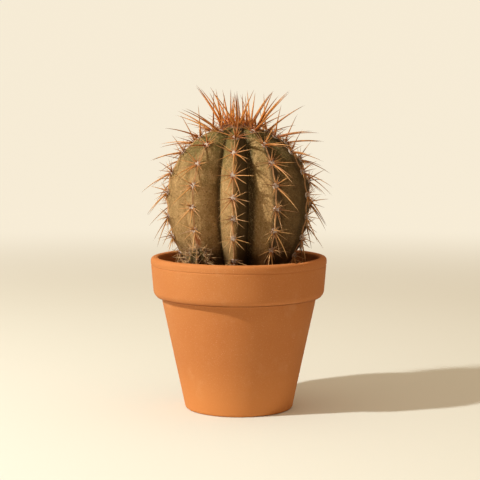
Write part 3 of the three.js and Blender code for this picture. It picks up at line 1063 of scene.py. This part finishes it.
def build_soil(rules):
    bed = new_object("potting_soil_bed", soil_bed(), soil_earth())
    keep(bed, "soil", "potting_soil")
    sizes = {"Density": 170000.0, "Least": 0.0004, "Most": 0.0019}
    grains = grown("potting_soil_grit", soil_patch(), rules["grit"], soil_grit(), **sizes)
    keep(grains, "soil", "potting_soil")


def rib_turn(rib, arc):
    """The way that a rib faces at an arc length down its crest."""
    even = FRONT + FIRST_RIB + rib * SECTOR
    wander = 0.0
    for count, swing, start in WANDER:
        wander += math.sin(even * count + math.radians(start)) * math.radians(swing)
    begins, full = WANDER_GROWS
    share = min(1.0, max(0.0, (arc - begins) / (full - begins)))
    return even + wander * share * share * (3 - 2 * share)


def crest_steps(rib):
    """The steps of a rib's areoles, from under the crown to the soil. Odd ribs are half a step ahead."""
    first = 0.5 if rib % 2 else 1.0
    last = 5.5 if rib == PUP_RIB else 7.5
    return [step / 2 for step in range(int(2 * first), int(2 * last) + 1, 2)]


def grow_body(name, crest, rules, made_of, sizes):
    """A fluted body from its crest line."""
    line = crest.curve(name + "_crest_line")
    sizes = {"Crest Length": crest.length, "Curve": line, **sizes}
    body = grown(name, bpy.data.meshes.new("empty"), rules["body"], made_of, **sizes)
    bpy.data.objects.remove(line)
    return body


def build_stem(crest, rules):
    scar_arc = areole_arc(5.5) + 0.010
    scar = crest.frame(scar_arc, rib_turn(PUP_RIB, scar_arc))[0]
    skin = stem_skin("stem_skin", scar)
    stem = grow_body("cactus_stem_skin", crest, rules, skin, {"First Rib": FRONT + FIRST_RIB})
    tidied(stem.data)
    keep(stem, "stem_skin", "cactus_stem")


def build_rows(crest, rules, finishes):
    for rib in range(RIBS):
        chance = random.Random(100 + rib)
        row = Planting()
        for step in crest_steps(rib):
            arc = areole_arc(step) + chance.gauss(0, 0.0008)
            width = 0.0032 - 0.0005 * step / 8
            turn = rib_turn(rib, arc) + chance.gauss(0, 0.006)
            areole = Areole(crest.frame(arc, turn), width, min(1.0, max(0.0, (step - 0.8) / 4.5)))
            areole_spines(areole, row.needles, step, chance)
            row.wool(areole, 50, 0.0028, chance)
            row.pad(areole)
        number = f"{rib + 1:02d}"
        names = [kind + number for kind in ("rib_spines_", "areole_pads_", "areole_hairs_")]
        row.grow(rules, "spine_row_" + number, "spines", names, finishes["spines"], finishes["wool"])


def build_crown(crest, rules, finishes):
    """The youngest areoles: stout curved spines that spread outwards, round a centre of short ones."""
    chance = random.Random(7)
    crown = Planting()
    for rib in range(0, RIBS, 2):
        arc = areole_arc(0.0) + chance.gauss(0, 0.001)
        areole = Areole(crest.frame(arc, rib_turn(rib, arc)), 0.0034, 0.0)
        crown.pad(areole)
        crown.wool(areole, 90, 0.0045, chance)
        for shape in CROWN_SPINES:
            areole.spine(crown.needles, *shape, chance)
        crown.short_spines(areole, 7, (20, 60), (0.009, 0.022), (0.00035, 0.00075), chance)
    for rib in range(1, RIBS, 2):
        areole = Areole(crest.frame(0.0072, rib_turn(rib, 0)), 0.003, 0.0)
        crown.pad(areole)
        crown.wool(areole, 60, 0.0045, chance)
        areole.spine(crown.needles, 14, 180, chance.uniform(0.024, 0.034), 0.001, 0.1, chance)
        crown.short_spines(areole, 4, (8, 34), (0.01, 0.02), (0.0004, 0.0007), chance)
    upright = (Vector((0, 0, crest.at(0).z)), Vector((0, 0, 1)), Vector((0, 1, 0)), Vector((1, 0, 0)))
    centre = Areole(upright, 0.008, 0.0)
    crown.wool(centre, 300, 0.006, chance)
    crown.pad(centre)
    for _ in range(9):
        tilt, lean = chance.uniform(4, 26), chance.uniform(-180, 180)
        centre.spine(crown.needles, tilt, lean, chance.uniform(0.01, 0.024), 0.0006, 0.05, chance)
    names = ("crown_spines_young", "crown_wool", "crown_hairs")
    horn, wool = finishes["young"], finishes["crown_wool"]
    crown.grow(rules, "crown_spines", "young_spines", names, horn, wool)


def pup_line():
    """The pup's crest line, from its top down to its foot in the soil."""
    points = []
    for step in range(81):
        angle = math.radians(90 - 90 * step / 80)
        points.append(Vector((PUP_RADIUS * math.cos(angle), 0, PUP_LEVEL + 0.015 * math.sin(angle))))
    for step in range(1, 41):
        angle = math.radians(80 * step / 40)
        points.append(Vector((PUP_RADIUS * math.cos(angle), 0, PUP_LEVEL - 0.022 * math.sin(angle))))
    points.append(Vector((0, 0, points[-1].z)))
    return Crest(points)


def build_pup(rules, finishes):
    chance = random.Random(41)
    crest = pup_line()
    turn = PUP_TURN + FRONT
    home = Vector((PUP_DISTANCE * math.cos(turn), PUP_DISTANCE * math.sin(turn), 0))
    sizes = {
        "Ribs": PUP_RIBS,
        "Columns": 145,
        "Rows": 90,
        "Wander": 0.0,
        "Valley": 0.84,
        "Crest Round": 0.2,
        "Knob": 0.0007,
        "Knob Start": 0.001,
        "Knob Step": 0.0062,
        "Knob Shrink": 0.0001,
        "Flute Low": 0.1,
        "Flute High": 0.112,
        "Flute Radius": 0.004,
        "Wrinkle": 0.00012,
        "Lumps": 0.0004,
        "Grain": 3.0,
    }
    pup = grow_body("pup_body", crest, rules, stem_skin("pup_skin"), sizes)
    tidied(pup.data, 0.00001)
    pup.data.transform(Matrix.Translation(home))
    keep(pup, "pup_skin", "pup")

    tuft = Planting()
    for rib in range(PUP_RIBS):
        for step in range(5):
            arc = 0.002 + 0.0058 * step + (0.0029 if rib % 2 else 0.0)
            if arc > crest.length * 0.72:
                continue
            place = crest.frame(arc, rib * 2 * math.pi / PUP_RIBS)
            areole = Areole(place, 0.0015, chance.uniform(0.3, 1.0))
            areole.point = areole.point + home
            tuft.pad(areole)
            tuft.wool(areole, 26, 0.0021, chance)
            areole.spine(tuft.needles, 16, 180, 0.0105, 0.0004, 0.1, chance)
            for _ in range(6):
                lean, length = chance.uniform(-180, 180), chance.uniform(0.005, 0.009)
                tilt = chance.uniform(35, 76)
                areole.spine(tuft.needles, tilt, lean, length, 0.0003, 0.08, chance)
    names = ("pup_spines_fine", "pup_wool", "pup_hairs")
    horn, wool = finishes["pup_spines"], finishes["pup_wool"]
    tuft.grow(rules, "pup_spines", "spines", names, horn, wool, Lump=0.0002)


# ---------------------------------------------------------------- the studio

LOW_FILL, HIGH_FILL = 0.075, 0.93  # the soft light all round, near the floor and overhead

# Each lamp's name, turn from the front towards +X, rise, distance, width, power and colour.
LIGHTS = (
    ("key_light", -65, 37, 2.3, 0.1, 53.5, (1.0, 1.0, 0.9)),
    ("left_fill", -60, 6, 2.2, 1.2, 3, (1.0, 0.9, 0.78)),
)


def studio_paper(name, glow_from, glow_to):
    """Pale paper that goes over to an even glow away from the object, so that its edge can't be seen."""

    def paint(tree, place):
        cloud = tree.noise(place, 1.2, 3.0)
        tooth = tree.noise(place, 300.0, 3.0)
        glow = tree.smooth(tree.vector("LENGTH", place, out="Value"), glow_from, glow_to)
        paper = tree.mix(cloud * 0.8 + 0.5, colour(224, 226, 222), colour(229, 231, 228))
        return {
            "Base Color": tree.mix(glow, paper, (0, 0, 0, 1)),
            "Roughness": 0.9 + tooth * 0.1,
            "Emission Color": tree.mix(glow, (0, 0, 0, 1), colour(246, 235, 213)),
            "Normal": tree.bump(tooth, 0.0002, 0.3),
        }

    return material(name, paint, **{"Emission Strength": 1.0, "Specular IOR Level": 0.1})


def studio_sweep(name, profile, paper):
    sides, rows = 96, len(profile)
    points = []
    for side in range(sides):
        turn = 2 * math.pi * side / sides
        points += [(radius * math.cos(turn), radius * math.sin(turn), level) for radius, level in profile]
    faces = []
    for side in range(sides):
        for row in range(rows - 1):
            here, there = side * rows + row, (side + 1) % sides * rows + row
            faces.append((here, there, there + 1, here + 1))
    sweep = new_object(name, tidied(mesh_of(name, points, faces)), paper)
    if sweep.data.polygons[0].normal.z < 0:
        sweep.data.flip_normals()
    return sweep


def build_studio():
    """A pale floor that rises to a round backdrop, a warm key light from the left and a soft fill."""
    floor_edge, rise = 2.4, 1.6
    flat = [(0.0, 0.0), (1.0, 0.0), (floor_edge, 0.0)]
    studio_sweep("studio_floor", flat, studio_paper("floor_paper", 0.7, 1.9))
    curve = [(floor_edge, 0.0)]
    for step in range(1, 17):
        angle = math.radians(90 * step / 16)
        curve.append((floor_edge + rise * math.sin(angle), rise * (1 - math.cos(angle))))
    curve.append((floor_edge + rise, 4.5))
    backdrop = studio_sweep("studio_backdrop", curve, studio_paper("backdrop_paper", 0.1, 0.2))
    backdrop.visible_diffuse = False
    backdrop.visible_glossy = False
    backdrop.visible_shadow = False

    world = bpy.data.worlds.new("studio")
    world.use_nodes = True
    world.node_tree.nodes.clear()
    sky = Tree(world.node_tree)
    upward = sky.parts(sky.node("ShaderNodeTexCoord", out="Generated")).out("Z")
    strength = LOW_FILL + (HIGH_FILL - LOW_FILL) * sky.smooth(upward, 0.2, 0.9)
    glow = sky.node("ShaderNodeBackground", None, {"Color": (1.0, 0.76, 0.5, 1), "Strength": strength})
    sky.node("ShaderNodeOutputWorld", None, {"Surface": glow})
    bpy.context.scene.world = world

    aim = Vector((0, 0, 0.15))
    for name, turn, rise, distance, size, power, tone in LIGHTS:
        turn, rise = math.radians(turn), math.radians(rise)
        away = Vector((math.sin(turn) * math.cos(rise), -math.cos(turn) * math.cos(rise), math.sin(rise)))
        lamp = bpy.data.lights.new(name, "AREA")
        lamp.shape = "DISK"
        lamp.size = size
        lamp.energy = power
        lamp.color = tone
        holder = bpy.data.objects.new(name, lamp)
        holder.location = aim + away * distance
        holder.rotation_euler = away.to_track_quat("Z", "Y").to_euler()
        holder.visible_camera = False
        bpy.context.scene.collection.objects.link(holder)


def build_camera():
    data = bpy.data.cameras.new("camera")
    data.lens = 108
    data.sensor_width = 36
    data.clip_start = 0.05
    camera = bpy.data.objects.new("camera", data)
    camera.location = (0.0011, -1.3, 0.2789)
    camera.rotation_euler = (math.radians(84.47), 0, 0)
    bpy.context.scene.collection.objects.link(camera)
    bpy.context.scene.camera = camera


build_camera()
build_studio()
bpy.context.scene.view_settings.view_transform = "Standard"

# The horn of the spines, young and old: the places along a spine and the colours there.
finishes = {
    "spines": spine_horn(
        "spine_horn",
        ((0.0, (146, 76, 36)), (0.2, (194, 118, 56)), (0.7, (204, 140, 78)), (1.0, (92, 54, 34))),
        ((0.0, (124, 80, 48)), (0.2, (184, 134, 82)), (0.7, (208, 166, 114)), (1.0, (104, 76, 54))),
    ),
    "young": spine_horn(
        "young_spine_horn",
        ((0.0, (172, 84, 26)), (0.3, (212, 124, 36)), (0.7, (206, 126, 48)), (1.0, (100, 54, 32))),
        ((0.0, (104, 62, 38)), (0.5, (192, 142, 88)), (1.0, (106, 76, 54))),
    ),
    "pup_spines": spine_horn(
        "pup_spine_horn",
        ((0.0, (150, 100, 62)), (0.4, (212, 176, 130)), (1.0, (186, 148, 108))),
        ((0.0, (160, 118, 80)), (0.4, (224, 196, 156)), (1.0, (196, 164, 128))),
    ),
    "wool": areole_wool("areole_wool", (228, 210, 196), (174, 146, 130)),
    "pup_wool": areole_wool("pup_wool", (200, 174, 142), (140, 110, 80)),
    "crown_wool": areole_wool("crown_wool", (206, 168, 142), (150, 104, 82)),
}
growing_rules = {
    "body": ribbed_body_tree(),
    "spines": spine_tree(),
    "wool": wool_tree(),
    "grit": grit_tree(),
}
crest_line = stem_line()
build_pot()
build_soil(growing_rules)
build_stem(crest_line, growing_rules)
build_rows(crest_line, growing_rules, finishes)
build_crown(crest_line, growing_rules, finishes)
build_pup(growing_rules, finishes)
